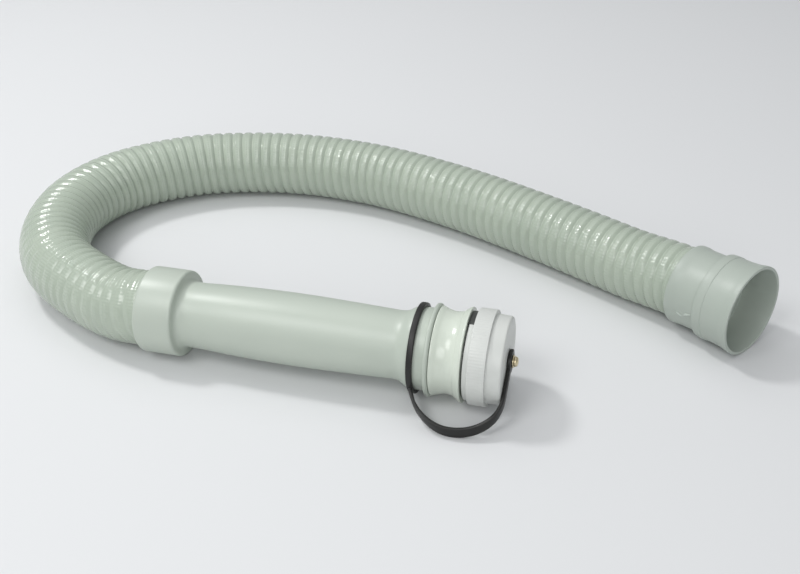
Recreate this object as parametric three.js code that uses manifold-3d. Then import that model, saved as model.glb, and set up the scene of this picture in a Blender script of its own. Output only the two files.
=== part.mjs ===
// Drain hose with a moulded outlet tube, a screw cap on a tether strap and an open end cuff.
// Millimetres, +Z up. The hose lies on the floor plane z = 0 in a hook.
import * as THREE from 'three';
import Module from 'manifold-3d';
import { mergeVertices } from 'three/addons/utils/BufferGeometryUtils.js';

const wasm = await Module();
wasm.setup();
const { Manifold, Mesh: SolidMesh } = wasm;

// Clearances
const seatGap = 0.3;          // between pieces that touch
const floorGap = 0.1;         // under whatever rests on the floor

// Hose: spiral-ribbed PVC, open bore
const hoseCrestR = 22.1;      // outside radius over the ribs
const hoseGrooveDepth = 1.5;  // groove between two ribs
const hoseBoreR = 18.5;
const ribPitch = 7.2;
const ribCrestShare = 0.6;    // flat part of one pitch
const hoseSides = 14;
const boreStep = 30;          // spacing of the bore's rings along the route

// Collar and outlet tube, one moulding, lengths along its own axis from the hose side
const collarR = 25.1;
const collarLength = 23.2;
const collarChamfer = 1.4;      // its length, at the hose side
const collarChamferDepth = 1.1;
const collarSeatDepth = 16;   // how deep the hose sits in the collar
const tubeWall = 2;
const tubeRootR = 19;         // outside, next to the collar
const tubeSwellR = 20.8;      // outside, at the widest
const tubeNeckR = 19;         // outside, before the end socket
const tubeSwellAt = 70;       // from the collar's face to the widest point
const tubeLength = 130.8;     // from the collar's face to the flare
const socketR = 23;           // outside of the end socket
const flareLength = 5;
const socketLength = 10;
const beadR = 26;
const beadWidth = 2.6;

// Neck: a waisted spool that plugs into the end socket and carries the cap
const neckBoreR = 17.2;
const neckShoulderR = 24.9;
const waistR = 22.75;
const neckFlangeR = 26.4;
const neckFlangeThick = 1.3;
const spoolLength = 17.6;     // from the bead to the flange's outer face
const noseR = 22.5;           // plain spigot under the cap
const noseLength = 14;

// Seal and cap
const sealThick = 1.1;
const sealKeyAngle = 58;      // degrees of the seal that show through the gap in the cap's lead-in
const sealKeyMiddle = 63;     // degrees up from the back
const leadInR = 24.6;         // plain rim of the cap next to the seal
const leadInLength = 2;
const gripR = 26.7;
const gripWidth = 9.7;
const capTopR = 24.6;
const capTopTaper = 0.4;
const capTopLength = 8.4;
const capTopThick = 2.6;

// Tether strap
const strapThick = 2;
const strapWidth = 6;
const strapRingWidth = 4;
const strapRingWall = 2.2;
const eyeletR = 6.6;
const strapDrop = 31.2;       // degrees below the horizontal at which its loop leaves the ring
const strapReach = 44.7;      // from the tube's axis to the far side of the loop

// Cap screw
const screwR = 1.5;
const screwHeadR = 2.9;
const screwHeadHeight = 2.2;
const washerR = 3.6;
const washerThick = 0.6;
const nutAcross = 5.5;
const nutThick = 2.4;
const holeGap = 0.25;         // around the screw

// End cuff, lengths along its own axis from the hose side
const cuffLength = 43;
const cuffSleeveR = 24;
const cuffLipR = 24.6;
const cuffLipWidth = 5;
const cuffSleeveLength = 19;
const cuffRingR = 26.4;
const cuffRingWidth = 6;
const cuffWaistR = 26;
const cuffWaistAt = 12;       // from the sleeve's end
const cuffMouthR = 27.4;
const cuffFlareLength = 6;    // the last stretch, before the mouth
const cuffWall = 1.9;
const cuffSeatDepth = 20;     // how deep the hose sits in the cuff
const cuffStopR = 20;
const cuffStopThick = 1.8;

// Where it lies
const collarAt = [-131.35, -65.44];  // the collar's hose side
const outletHeading = -15.3;        // degrees from +X
const cuffAt = [187.9, -45];        // the cuff's hose side
const cuffHeading = -48.2;
// Points that the hose passes between the two, chosen by eye from its lie
const routePoints = [
  [-155, -54], [-177, -36.5], [-200, -10.5], [-211.7, 27], [-207.7, 65], [-188.5, 96], [-161, 115],
  [-130, 126], [-98, 129], [-55, 125], [-6, 109], [50, 76], [108, 30], [154, -11.5],
];

const rad = THREE.MathUtils.degToRad;
const ringSides = 28;
const V = (x, y, z) => new THREE.Vector3(x, y, z);

// Solid helpers
function fromGeometry(geometry) {
  const g = geometry.clone();
  g.deleteAttribute('normal');
  g.deleteAttribute('uv');
  const merged = mergeVertices(g, 1e-4);
  return new Manifold(new SolidMesh({
    numProp: 3,
    vertProperties: new Float32Array(merged.attributes.position.array),
    triVerts: new Uint32Array(merged.index.array),
  }));
}
function toGeometry(solid) {
  const m = solid.getMesh();
  const points = new Float32Array(m.numVert * 3);
  for (let i = 0; i < m.numVert; i++) {
    for (let k = 0; k < 3; k++) points[3 * i + k] = m.vertProperties[i * m.numProp + k];
  }
  const g = new THREE.BufferGeometry();
  g.setAttribute('position', new THREE.BufferAttribute(points, 3));
  g.setIndex(Array.from(m.triVerts));
  return g;
}
// A closed profile of [radius, height] turned about +Z, outside wall going up
function turned(profile, sides = ringSides) {
  const closed = [...profile, profile[0]].map(([r, z]) => new THREE.Vector2(r, z));
  const g = new THREE.LatheGeometry(closed, sides);
  g.rotateX(Math.PI / 2);
  return g;
}
// A solid of revolution that reaches the axis, from [radius, height] points
function turnedSolid(profile, sides = ringSides) {
  const g = new THREE.LatheGeometry(profile.map(([r, z]) => new THREE.Vector2(r, z)), sides);
  g.rotateX(Math.PI / 2);
  return g;
}
// Frame with its Z along a heading and a slope, and its X level
function axisFrame(origin, direction) {
  const z = direction.clone().normalize();
  const x = V(0, 0, 1).cross(z).normalize();
  const y = z.clone().cross(x);
  return new THREE.Matrix4().makeBasis(x, y, z).setPosition(origin);
}
function heading(degrees, rise) {
  return V(Math.cos(rad(degrees)), Math.sin(rad(degrees)), rise).normalize();
}

// Stations along the outlet's axis
const collarEnd = collarLength;
const flareStart = collarEnd + tubeLength;
const socketStart = flareStart + flareLength;
const beadStart = socketStart + socketLength;
const tubeEnd = beadStart + beadWidth;
const spoolStart = tubeEnd + seatGap;
const flangeFace = tubeEnd + spoolLength;
const noseEnd = flangeFace + noseLength;
const sealStart = flangeFace + seatGap;
const capStart = sealStart + sealThick + seatGap;
const gripStart = capStart + leadInLength;
const gripEnd = gripStart + gripWidth;
const capEnd = gripEnd + capTopLength;
const capInside = capEnd - capTopThick;

// The outlet rests on its collar and on the cap's grip
const gripMiddle = (gripStart + gripEnd) / 2;
const outletRise = (gripR - collarR) / (gripMiddle - collarLength / 2);
const outletAxis = heading(outletHeading, outletRise);
const outletOrigin = V(collarAt[0], collarAt[1], collarR + floorGap - outletRise * collarLength / 2);
const outletFrame = axisFrame(outletOrigin, outletAxis);

// The cuff rests on its ring and on its mouth
const cuffRingMiddle = cuffSleeveLength + cuffRingWidth / 2;
const cuffRise = (cuffMouthR - cuffRingR) / (cuffLength - cuffRingMiddle);
const cuffAxis = heading(cuffHeading, cuffRise);
const cuffOrigin = V(cuffAt[0], cuffAt[1], cuffMouthR + floorGap - cuffAxis.z * cuffLength);
const cuffFrame = axisFrame(cuffOrigin, cuffAxis);

// The hose's centre line: straight inside both sockets, a cubic through the points between
class Route extends THREE.Curve {
  constructor(points, first, last) {
    super();
    this.points = points;
    this.tangents = points.map((p, i) => {
      if (i === 0) return first.clone();
      if (i === points.length - 1) return last.clone();
      const before = p.distanceTo(points[i - 1]);
      const after = p.distanceTo(points[i + 1]);
      return points[i + 1].clone().sub(p).multiplyScalar(before / after)
        .addScaledVector(p.clone().sub(points[i - 1]), after / before)
        .multiplyScalar(1 / (before + after))
        .setZ(0);   // level where it lies on the floor
    });
    this.arcLengthDivisions = 60 * points.length;
  }
  getPoint(t, target = new THREE.Vector3()) {
    const last = this.points.length - 1;
    const i = Math.min(Math.floor(t * last), last - 1);
    const u = t * last - i;
    const span = this.points[i].distanceTo(this.points[i + 1]);
    const [a, b, c, d] = [2 * u ** 3 - 3 * u ** 2 + 1, u ** 3 - 2 * u ** 2 + u, -2 * u ** 3 + 3 * u ** 2, u ** 3 - u ** 2];
    return target.set(0, 0, 0)
      .addScaledVector(this.points[i], a)
      .addScaledVector(this.tangents[i], b * span)
      .addScaledVector(this.points[i + 1], c)
      .addScaledVector(this.tangents[i + 1], d * span);
  }
}
const atCollar = (a) => outletOrigin.clone().addScaledVector(outletAxis, a);
const atCuff = (a) => cuffOrigin.clone().addScaledVector(cuffAxis, a);
const route = new Route(
  [
    atCollar(collarSeatDepth), atCollar(2), ...routePoints.map(([x, y]) => V(x, y, hoseCrestR + floorGap)),
    atCuff(-2), atCuff(cuffSeatDepth),
  ],
  outletAxis.clone().negate(),
  cuffAxis.clone(),
);
// Both straight ends keep their socket's direction
route.tangents[1] = outletAxis.clone().negate();
route.tangents[route.points.length - 2] = cuffAxis.clone();

// Ribbed hose. One rib runs round and round: crest, crest, groove, then the next turn's crest.
function ribbedHose() {
  const routeLength = route.getLength();
  const grooveAt = (1 + ribCrestShare) / 2;
  const turns = Math.floor(routeLength / ribPitch - grooveAt);
  const pitch = routeLength / (turns + grooveAt);
  const steps = turns * hoseSides;
  const positions = [];
  const faces = [];
  // Side k of the hose at the length s, with a row of corners along the bottom
  const place = (s, k, r) => {
    const u = THREE.MathUtils.clamp(s / routeLength, 0, 1);
    const angle = (2 * Math.PI * (k + 0.5)) / hoseSides;
    const p = route.getPointAt(u);
    const t = route.getTangentAt(u);
    const side = V(0, 0, 1).cross(t).normalize();
    const up = t.clone().cross(side);
    p.addScaledVector(side, r * Math.cos(angle)).addScaledVector(up, r * Math.sin(angle));
    positions.push(p.x, p.y, p.z);
    return positions.length / 3 - 1;
  };
  const row = (share, r) => Array.from({ length: steps + 1 }, (_, k) => (
    place((k / hoseSides + share) * pitch, k, r)
  ));
  const rise = row(0, hoseCrestR);
  const fall = row(ribCrestShare, hoseCrestR);
  const groove = row(grooveAt, hoseCrestR - hoseGrooveDepth);
  const quad = (a, b, c, d) => faces.push(a, b, c, a, c, d);
  for (let k = 0; k < steps; k++) {
    quad(rise[k], rise[k + 1], fall[k + 1], fall[k]);
    quad(fall[k], fall[k + 1], groove[k + 1], groove[k]);
    if (k + hoseSides < steps) quad(groove[k], groove[k + 1], rise[k + 1 + hoseSides], rise[k + hoseSides]);
  }
  const rings = Math.max(2, Math.round(routeLength / boreStep));
  const bore = Array.from({ length: rings + 1 }, (_, i) => (
    Array.from({ length: hoseSides }, (_, k) => place((routeLength * i) / rings, k, hoseBoreR))
  ));
  for (let i = 0; i < rings; i++) {
    for (let k = 0; k < hoseSides; k++) {
      const n = (k + 1) % hoseSides;
      quad(bore[i][n], bore[i][k], bore[i + 1][k], bore[i + 1][n]);
    }
  }
  // End faces: a ramp from the spiral's edge to the bore, and the step at its start
  const [first, last] = [bore[0], bore[rings]];
  for (let k = 0; k < hoseSides; k++) {
    const n = (k + 1) % hoseSides;
    quad(first[k], first[n], rise[k + 1], rise[k]);
    const e = steps - hoseSides + k;
    quad(groove[e], groove[e + 1], last[n], last[k]);
  }
  faces.push(first[0], groove[0], rise[hoseSides], first[0], fall[0], groove[0], first[0], rise[0], fall[0]);
  faces.push(last[0], groove[steps], fall[steps], last[0], fall[steps], rise[steps], last[0], rise[steps], groove[steps - hoseSides]);
  const g = new THREE.BufferGeometry();
  g.setAttribute('position', new THREE.Float32BufferAttribute(positions, 3));
  g.setIndex(faces);
  return g;
}

// Outlet tube: collar, swelling tube, flared end socket with its bead
function drainTube() {
  const seatR = hoseCrestR + seatGap;
  const socketBoreR = socketR - tubeWall;
  const stopAt = collarSeatDepth + seatGap;
  const swell = collarEnd + tubeSwellAt;
  const soft = (r, share, R) => r + (R - r) * share;
  const outside = [
    [collarR - collarChamferDepth, 0], [collarR - collarChamferDepth * 0.3, collarChamfer * 0.6],
    [collarR, collarChamfer], [collarR, collarEnd - 2], [collarR - 0.4, collarEnd - 0.8], [collarR - 1.4, collarEnd],
    [tubeRootR + 1.8, collarEnd + 1], [tubeRootR + 0.5, collarEnd + 2.4], [tubeRootR, collarEnd + 5.5],
    [soft(tubeRootR, 0.42, tubeSwellR), collarEnd + tubeSwellAt * 0.38],
    [soft(tubeRootR, 0.86, tubeSwellR), swell - tubeSwellAt * 0.34],
    [tubeSwellR, swell], [soft(tubeNeckR, 0.62, tubeSwellR), swell + (flareStart - swell) * 0.48],
    [tubeNeckR + 0.1, flareStart - 7], [tubeNeckR + 0.1, flareStart],
    [soft(tubeNeckR, 0.5, socketR), flareStart + flareLength * 0.42],
    [soft(tubeNeckR, 0.9, socketR), flareStart + flareLength * 0.78],
    [socketR, socketStart], [socketR, beadStart - 0.3],
    [beadR - 0.5, beadStart + 0.5], [beadR, beadStart + beadWidth * 0.4],
    [beadR - 0.1, beadStart + beadWidth * 0.7], [neckShoulderR, tubeEnd],
  ];
  const inside = [
    [socketBoreR, tubeEnd], [socketBoreR, socketStart], [tubeNeckR - tubeWall, socketStart - 1.6],
    [tubeNeckR - tubeWall, flareStart - 7], [tubeSwellR - tubeWall, swell],
    [tubeRootR - tubeWall, collarEnd + 5.5], [tubeRootR - tubeWall, stopAt], [seatR, stopAt], [seatR, 0],
  ];
  return turned([...outside, ...inside]);
}

// Neck spool with its flange, plug and nose
function neckFitting() {
  const plugR = socketR - tubeWall - seatGap;
  const outside = [
    [plugR, socketStart + seatGap], [plugR, spoolStart], [neckShoulderR, spoolStart],
    [neckShoulderR - 0.3, spoolStart + 1.2], [waistR + 1, spoolStart + 3.2], [waistR + 0.25, spoolStart + 5.6],
    [waistR, spoolStart + 8.2], [waistR + 0.3, spoolStart + 10.6], [waistR + 1.3, spoolStart + 13],
    [neckFlangeR - 0.9, flangeFace - neckFlangeThick - 1.1], [neckFlangeR, flangeFace - neckFlangeThick],
    [neckFlangeR, flangeFace - 0.3], [neckFlangeR - 0.3, flangeFace],
    [noseR, flangeFace], [noseR, noseEnd - 0.8], [noseR - 0.8, noseEnd],
  ];
  const inside = [[neckBoreR + 0.6, noseEnd], [neckBoreR, noseEnd - 0.6], [neckBoreR, socketStart + seatGap]];
  return turned([...outside, ...inside]);
}

// A wedge about +Z between two radii, for the key and its gap
function arcBlock(r0, r1, z0, z1, middle, angle) {
  const shape = new THREE.Shape();
  const [a, b] = [rad(middle - angle / 2), rad(middle + angle / 2)];
  const steps = 8;
  for (let i = 0; i <= steps; i++) {
    const t = a + ((b - a) * i) / steps;
    if (i === 0) shape.moveTo(r1 * Math.cos(t), r1 * Math.sin(t));
    else shape.lineTo(r1 * Math.cos(t), r1 * Math.sin(t));
  }
  for (let i = steps; i >= 0; i--) {
    const t = a + ((b - a) * i) / steps;
    shape.lineTo(r0 * Math.cos(t), r0 * Math.sin(t));
  }
  const g = new THREE.ExtrudeGeometry(shape, { depth: z1 - z0, bevelEnabled: false });
  g.translate(0, 0, z0);
  return g;
}
// In the outlet's frame +X is the back and +Y is up
const sealBoreR = noseR + seatGap;

function sealRing() {
  const sealOuterR = leadInR - seatGap / 2;
  const ring = fromGeometry(turned([
    [sealOuterR, sealStart], [sealOuterR, sealStart + sealThick], [sealBoreR, sealStart + sealThick], [sealBoreR, sealStart],
  ]));
  const key = fromGeometry(arcBlock(
    sealBoreR + 0.2, sealOuterR - 0.2, sealStart + sealThick / 2, gripStart - seatGap, sealKeyMiddle, sealKeyAngle - 3,
  ));
  return toGeometry(Manifold.union(ring, key));
}

// Cap: lead-in rim, grip band, stepped top
function capShell() {
  const bore = noseR + seatGap;
  const body = fromGeometry(turned([
    [leadInR, capStart], [leadInR, gripStart], [gripR - 0.5, gripStart], [gripR, gripStart + 0.6],
    [gripR, gripEnd - 0.6], [gripR - 0.4, gripEnd], [capTopR, gripEnd],
    [capTopR - capTopTaper, capEnd - 0.8], [capTopR - capTopTaper - 0.8, capEnd],
    [screwR + holeGap, capEnd], [screwR + holeGap, capInside], [bore, capInside], [bore, capStart],
  ]));
  const gap = fromGeometry(arcBlock(bore - 1, leadInR + 1, capStart - 1, gripStart, sealKeyMiddle, sealKeyAngle));
  return toGeometry(Manifold.difference(body, gap));
}

// Tether strap: ring round the socket, a flat loop and an eyelet under the screw
const ringMiddle = socketStart + 1.5 + strapRingWidth / 2;
const eyeletStart = capEnd + seatGap;
const eyeletEnd = eyeletStart + strapThick;
function strapSolid() {
  const ringInnerR = socketR + seatGap;
  const ring = fromGeometry(turned([
    [ringInnerR + strapRingWall, ringMiddle - strapRingWidth / 2], [ringInnerR + strapRingWall, ringMiddle + strapRingWidth / 2],
    [ringInnerR, ringMiddle + strapRingWidth / 2], [ringInnerR, ringMiddle - strapRingWidth / 2],
  ]));
  const eyelet = fromGeometry(turned([
    [eyeletR, eyeletStart], [eyeletR, eyeletEnd], [screwR + holeGap, eyeletEnd], [screwR + holeGap, eyeletStart],
  ], 24));
  // Loop in its own plane: along the axis, and out from it
  const mid = eyeletStart + strapThick / 2;
  const from = ringInnerR + strapRingWall / 2;
  const centre = (ringMiddle + mid) / 2;
  const half = (mid - ringMiddle) / 2;
  const loop = [
    [ringMiddle, from], [ringMiddle + 1.2, from + 3], [centre - half * 0.82, from + (strapReach - from) * 0.44],
    [centre - half * 0.64, from + (strapReach - from) * 0.68],
    [centre - half * 0.4, from + (strapReach - from) * 0.88], [centre - half * 0.14, strapReach - 0.2],
    [centre + half * 0.12, strapReach], [centre + half * 0.36, strapReach - 1.2],
    [centre + half * 0.58, strapReach - 3.8], [centre + half * 0.76, strapReach - 7.4],
    [centre + half * 0.9, strapReach - 12], [mid - 0.3, capTopR + 1.4], [mid, capTopR - 3], [mid, (eyeletR + screwR) / 2],
  ];
  const drop = rad(strapDrop);
  // In the outlet's frame the viewer's side is -X and down is -Y
  const out = V(-Math.cos(drop), -Math.sin(drop), 0);
  const curve = new THREE.CatmullRomCurve3(loop.map(([a, r]) => out.clone().multiplyScalar(r).setZ(a)));
  const stations = 30;
  const positions = [];
  const faces = [];
  for (let i = 0; i <= stations; i++) {
    const u = i / stations;
    const p = curve.getPointAt(u);
    const t = curve.getTangentAt(u);
    // On edge at the front, square to the ring and the cap at both ends
    const lean = drop * (1 - 0.9 * Math.sin(Math.PI * u) ** 2);
    const w = V(-Math.sin(lean), Math.cos(lean), 0);
    w.addScaledVector(t, -w.dot(t)).normalize();
    const n = t.clone().cross(w);
    for (const [a, b] of [[1, 1], [-1, 1], [-1, -1], [1, -1]]) {
      const q = p.clone().addScaledVector(w, (a * strapWidth) / 2).addScaledVector(n, (b * strapThick) / 2);
      positions.push(q.x, q.y, q.z);
    }
  }
  const quad = (a, b, c, d) => faces.push(a, b, c, a, c, d);
  for (let i = 0; i < stations; i++) {
    for (let k = 0; k < 4; k++) {
      const n = (k + 1) % 4;
      quad(4 * i + k, 4 * i + n, 4 * i + 4 + n, 4 * i + 4 + k);
    }
  }
  quad(3, 2, 1, 0);
  const e = 4 * stations;
  quad(e, e + 1, e + 2, e + 3);
  const band = new THREE.BufferGeometry();
  band.setAttribute('position', new THREE.Float32BufferAttribute(positions, 3));
  band.setIndex(faces);
  let tail = fromGeometry(band);
  if (tail.volume() < 0) {
    for (let i = 0; i < faces.length; i += 3) [faces[i], faces[i + 1]] = [faces[i + 1], faces[i]];
    band.setIndex(faces);
    tail = fromGeometry(band);
  }
  const hole = fromGeometry(turnedSolid([[0, eyeletStart - 2], [screwR + holeGap, eyeletStart - 2], [screwR + holeGap, eyeletEnd + 2], [0, eyeletEnd + 2]], 24));
  return toGeometry(Manifold.difference(Manifold.union([ring, eyelet, tail]), hole));
}

// Brass screw with its washer, and the nut inside the cap
const washerStart = eyeletEnd + seatGap;
const headStart = washerStart + washerThick + seatGap;
const nutStart = capInside - seatGap - nutThick;
function capScrew() {
  return turnedSolid([
    [0, nutStart - 1.2], [screwR, nutStart - 1.2], [screwR, headStart], [screwHeadR, headStart],
    [screwHeadR, headStart + screwHeadHeight * 0.4], [screwHeadR * 0.8, headStart + screwHeadHeight * 0.8],
    [screwHeadR * 0.45, headStart + screwHeadHeight], [0, headStart + screwHeadHeight],
  ], 20);
}
function screwWasher() {
  return turned([
    [washerR, washerStart], [washerR, washerStart + washerThick],
    [screwR + holeGap, washerStart + washerThick], [screwR + holeGap, washerStart],
  ], 24);
}
function capNut() {
  const shape = new THREE.Shape();
  for (let i = 0; i < 6; i++) {
    const a = rad(60 * i + 30);
    const r = nutAcross / 2 / Math.cos(rad(30));
    if (i === 0) shape.moveTo(r * Math.cos(a), r * Math.sin(a));
    else shape.lineTo(r * Math.cos(a), r * Math.sin(a));
  }
  shape.closePath();
  const hole = new THREE.Path();
  hole.absarc(0, 0, screwR + holeGap, 0, 2 * Math.PI, true);
  shape.holes.push(hole);
  const g = new THREE.ExtrudeGeometry(shape, { depth: nutThick, bevelEnabled: false, curveSegments: 10 });
  g.translate(0, 0, nutStart);
  return g;
}

// End cuff: sleeve over the hose, ring, flared mouth
function endCuff() {
  const seatR = hoseCrestR + seatGap;
  const stopAt = cuffSeatDepth + seatGap;
  const ringAt = cuffSleeveLength;
  const waistAt = ringAt + cuffWaistAt;
  const outside = [
    [seatR + 0.5, 0], [cuffLipR - 0.2, 0.9], [cuffLipR, cuffLipWidth * 0.45], [cuffSleeveR + 0.1, cuffLipWidth],
    [cuffSleeveR, cuffLipWidth + 3], [cuffSleeveR, ringAt], [cuffRingR - 0.4, ringAt + 1], [cuffRingR, ringAt + 2],
    [cuffRingR, ringAt + cuffRingWidth], [cuffWaistR + 0.1, waistAt - 3], [cuffWaistR, waistAt],
    [cuffWaistR + 0.4, cuffLength - cuffFlareLength], [cuffMouthR - 0.2, cuffLength - cuffFlareLength * 0.5],
    [cuffMouthR, cuffLength - 1.4], [cuffMouthR - 0.3, cuffLength],
  ];
  const mouthBoreR = cuffMouthR - cuffWall;
  const socketEnd = stopAt + cuffStopThick;
  const inside = [
    [mouthBoreR + 0.2, cuffLength], [mouthBoreR - 0.1, cuffLength - 1.2], [cuffWaistR - cuffWall, waistAt],
    [cuffWaistR - cuffWall, socketEnd], [cuffStopR, socketEnd], [cuffStopR, stopAt], [seatR, stopAt], [seatR, 0],
  ];
  return turned([...outside, ...inside]);
}

const palette = {
  hose: 0xb7c3b2, hose_cuff: 0xb4beba, drain_tube: 0xc9d1c8, neck_fitting: 0xdbe4d7, seal_ring: 0x2a2d2c,
  cap: 0xd0d4ce, strap: 0x15160f, cap_screw: 0xc8a86a, screw_washer: 0xb89a60, screw_nut: 0xa88c58,
};
const object = new THREE.Group();
function add(name, geometry, frame) {
  const g = geometry;
  if (frame) g.applyMatrix4(frame);
  const mesh = new THREE.Mesh(g, new THREE.MeshStandardMaterial({ color: palette[name] }));
  mesh.name = name;
  object.add(mesh);
}
add('hose', ribbedHose());
add('hose_cuff', endCuff(), cuffFrame);
add('drain_tube', drainTube(), outletFrame);
add('neck_fitting', neckFitting(), outletFrame);
add('seal_ring', sealRing(), outletFrame);
add('cap', capShell(), outletFrame);
add('strap', strapSolid(), outletFrame);
add('cap_screw', capScrew(), outletFrame);
add('screw_washer', screwWasher(), outletFrame);
add('screw_nut', capNut(), outletFrame);

// Stand it on z = 0, centred over its own outline
const box = new THREE.Box3();
object.children.forEach((m) => { m.geometry.computeBoundingBox(); box.union(m.geometry.boundingBox); });
const centre = box.getCenter(new THREE.Vector3());
object.children.forEach((m) => m.geometry.translate(-centre.x, -centre.y, -box.min.z));

export default object;
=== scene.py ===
import math

import bpy
import numpy as np
from mathutils import Matrix, Vector


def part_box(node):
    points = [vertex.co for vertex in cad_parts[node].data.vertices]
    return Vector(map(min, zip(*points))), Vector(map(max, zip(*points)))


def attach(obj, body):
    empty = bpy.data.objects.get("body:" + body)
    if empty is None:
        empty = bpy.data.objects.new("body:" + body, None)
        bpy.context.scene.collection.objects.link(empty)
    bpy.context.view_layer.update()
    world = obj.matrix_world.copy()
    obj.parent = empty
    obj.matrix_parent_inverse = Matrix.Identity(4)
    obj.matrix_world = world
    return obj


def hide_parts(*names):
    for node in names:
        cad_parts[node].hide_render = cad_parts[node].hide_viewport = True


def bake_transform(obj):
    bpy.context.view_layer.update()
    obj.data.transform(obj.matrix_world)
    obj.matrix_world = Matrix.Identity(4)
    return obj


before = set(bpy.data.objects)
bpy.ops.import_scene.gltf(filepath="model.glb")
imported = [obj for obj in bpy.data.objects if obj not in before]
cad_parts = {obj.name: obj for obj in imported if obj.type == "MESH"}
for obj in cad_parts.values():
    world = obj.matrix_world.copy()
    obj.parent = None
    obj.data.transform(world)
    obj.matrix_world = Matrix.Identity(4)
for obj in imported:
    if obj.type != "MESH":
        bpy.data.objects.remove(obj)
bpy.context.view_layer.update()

# Washing machine drain hose: a ribbed PVC hose lying in a hook, with a moulded outlet tube whose
# screw cap hangs on a rubber strap, and an open push-on cuff. Sizes are in millimetres.
MM = 0.001

# Hose
HOSE_CREST_R = 22.1
HOSE_BORE_R = 18.5
RIB_PITCH = 7.2
GROOVE_AT = 0.8           # where a groove's bottom lies in one pitch
GROOVE_DEPTH = 1.0
GROOVE_HALF_WIDTH = 0.15  # share of a pitch
CREST_ROUND = 0.32        # how far a rib's crest falls away towards its grooves
RIB_SHARE_FULL = 1.1      # share of the rib's depth where the hose is straight, and at most
RIB_SHARE_LEAST = 0.25
RIB_LOSS_STRETCHED = 1.9  # what a bend takes from that share on its outer side, and gives on its inner
RIB_LOSS_BENT = 1.2       # and what it takes all round
RIDGE_AT = 0.35           # two fine ridges run along each rib, this share of a pitch from the groove
RIDGE_HEIGHT = 0.07
NOTCH_SPACING = 1.9       # fine notches across the ribs
NOTCH_HEIGHT = 0.045

# Collar, outlet tube and its end socket: one moulding
COLLAR_R = 25.1
COLLAR_LENGTH = 23.2
COLLAR_CHAMFER = 1.4
COLLAR_CHAMFER_DEPTH = 1.1
COLLAR_SEAT_DEPTH = 16.0
COLLAR_EDGE_ROUND = 1.7
TUBE_WALL = 2.0
TUBE_ROOT_R = 19.0
TUBE_ROOT_STRAIGHT = 9.0
TUBE_SWELL_R = 20.8
TUBE_NECK_R = 19.1
TUBE_SWELL_AT = 70.0
TUBE_SWELL_START = 32.0
TUBE_SWELL_START_R = 20.25
TUBE_NECK_START = 20.0    # before the flare
TUBE_NECK_START_R = 19.65
TUBE_LENGTH = 130.8
SOCKET_R = 23.0
FLARE_LENGTH = 5.0
SOCKET_LENGTH = 10.0
BEAD_R = 26.0
BEAD_WIDTH = 2.6

# Neck, seal and cap
NECK_BORE_R = 17.2
NECK_SHOULDER_R = 24.9
WAIST_R = 22.75
WAIST_AT = 8.2
WAIST_HALF_LENGTH = 4.3
FLANGE_R = 26.4
FLANGE_THICK = 1.3
SPOOL_LENGTH = 17.6
SPOOL_STEP_AT = 3.95      # before the flange's face
SPOOL_STEP_LENGTH = 0.15
NOSE_R = 22.5
NOSE_LENGTH = 14.0
SEAL_THICK = 1.1
SEAL_KEY_ANGLE = 68.0
SEAL_KEY_MIDDLE = 68.0
SEAL_KEY_CLEARANCE = 0.7  # degrees at each end
SEAL_RECESS = 0.9         # how far the ring lies inside the cap's lead-in
LEAD_IN_R = 24.6
LEAD_IN_LENGTH = 2.0
GRIP_R = 26.7
GRIP_WIDTH = 9.7
GRIP_FLUTES = 100
GRIP_FLUTE_DEPTH = 0.08
CAP_TOP_R = 24.6
CAP_TOP_TAPER = 0.4
CAP_TOP_LENGTH = 8.4
CAP_TOP_THICK = 2.6

# Strap and screw
STRAP_THICK = 2.0
STRAP_WIDTH = 6.0
STRAP_RING_AT = 0.9       # from where the socket starts
STRAP_RING_WIDTH = 3.3
STRAP_RING_WALL = 2.0
EYELET_R = 6.6
STRAP_DROP = 31.2
STRAP_REACH = 44.7
SCREW_R = 1.5
SCREW_HOLE_R = 1.75
SCREW_SHANK = 3.9         # how far it reaches past the cap's inner face
SCREW_HEAD_R = 2.9
SCREW_HEAD_HEIGHT = 2.2
WASHER_R = 3.6
WASHER_THICK = 0.6

# Cuff
CUFF_LENGTH = 43.0
CUFF_SLEEVE_R = 24.0
CUFF_LIP_R = 24.6
CUFF_LIP_OVERHANG = 1.5
CUFF_LIP_END = 2.6
CUFF_LIP_TAPER = 3.4
CUFF_SLEEVE_LENGTH = 19.0
CUFF_RING_R = 26.4
CUFF_RING_WIDTH = 6.0
CUFF_WAIST_R = 26.0
CUFF_WAIST_AT = 12.0
CUFF_MOUTH_R = 27.4
CUFF_FLARE_LENGTH = 6.0
CUFF_WALL = 1.9
CUFF_SEAT_DEPTH = 20.0
CUFF_STOP_R = 20.0
CUFF_STOP_THICK = 1.8

SEAT_GAP = 0.3
FLOOR_GAP = 0.1

# The lie of it, as in the part's own source
COLLAR_AT = (-131.35, -65.44)
OUTLET_HEADING = -15.3
CUFF_AT = (187.9, -45.0)
CUFF_HEADING = -48.2
ROUTE_STRAIGHT = 2.0      # the route is straight from this near a socket's face to its seat
ROUTE_POINTS = [
    (-155, -54), (-177, -36.5), (-200, -10.5), (-211.7, 27), (-207.7, 65), (-188.5, 96), (-161, 115),
    (-130, 126), (-98, 129), (-55, 125), (-6, 109), (50, 76), (108, 30), (154, -11.5),
]

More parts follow.
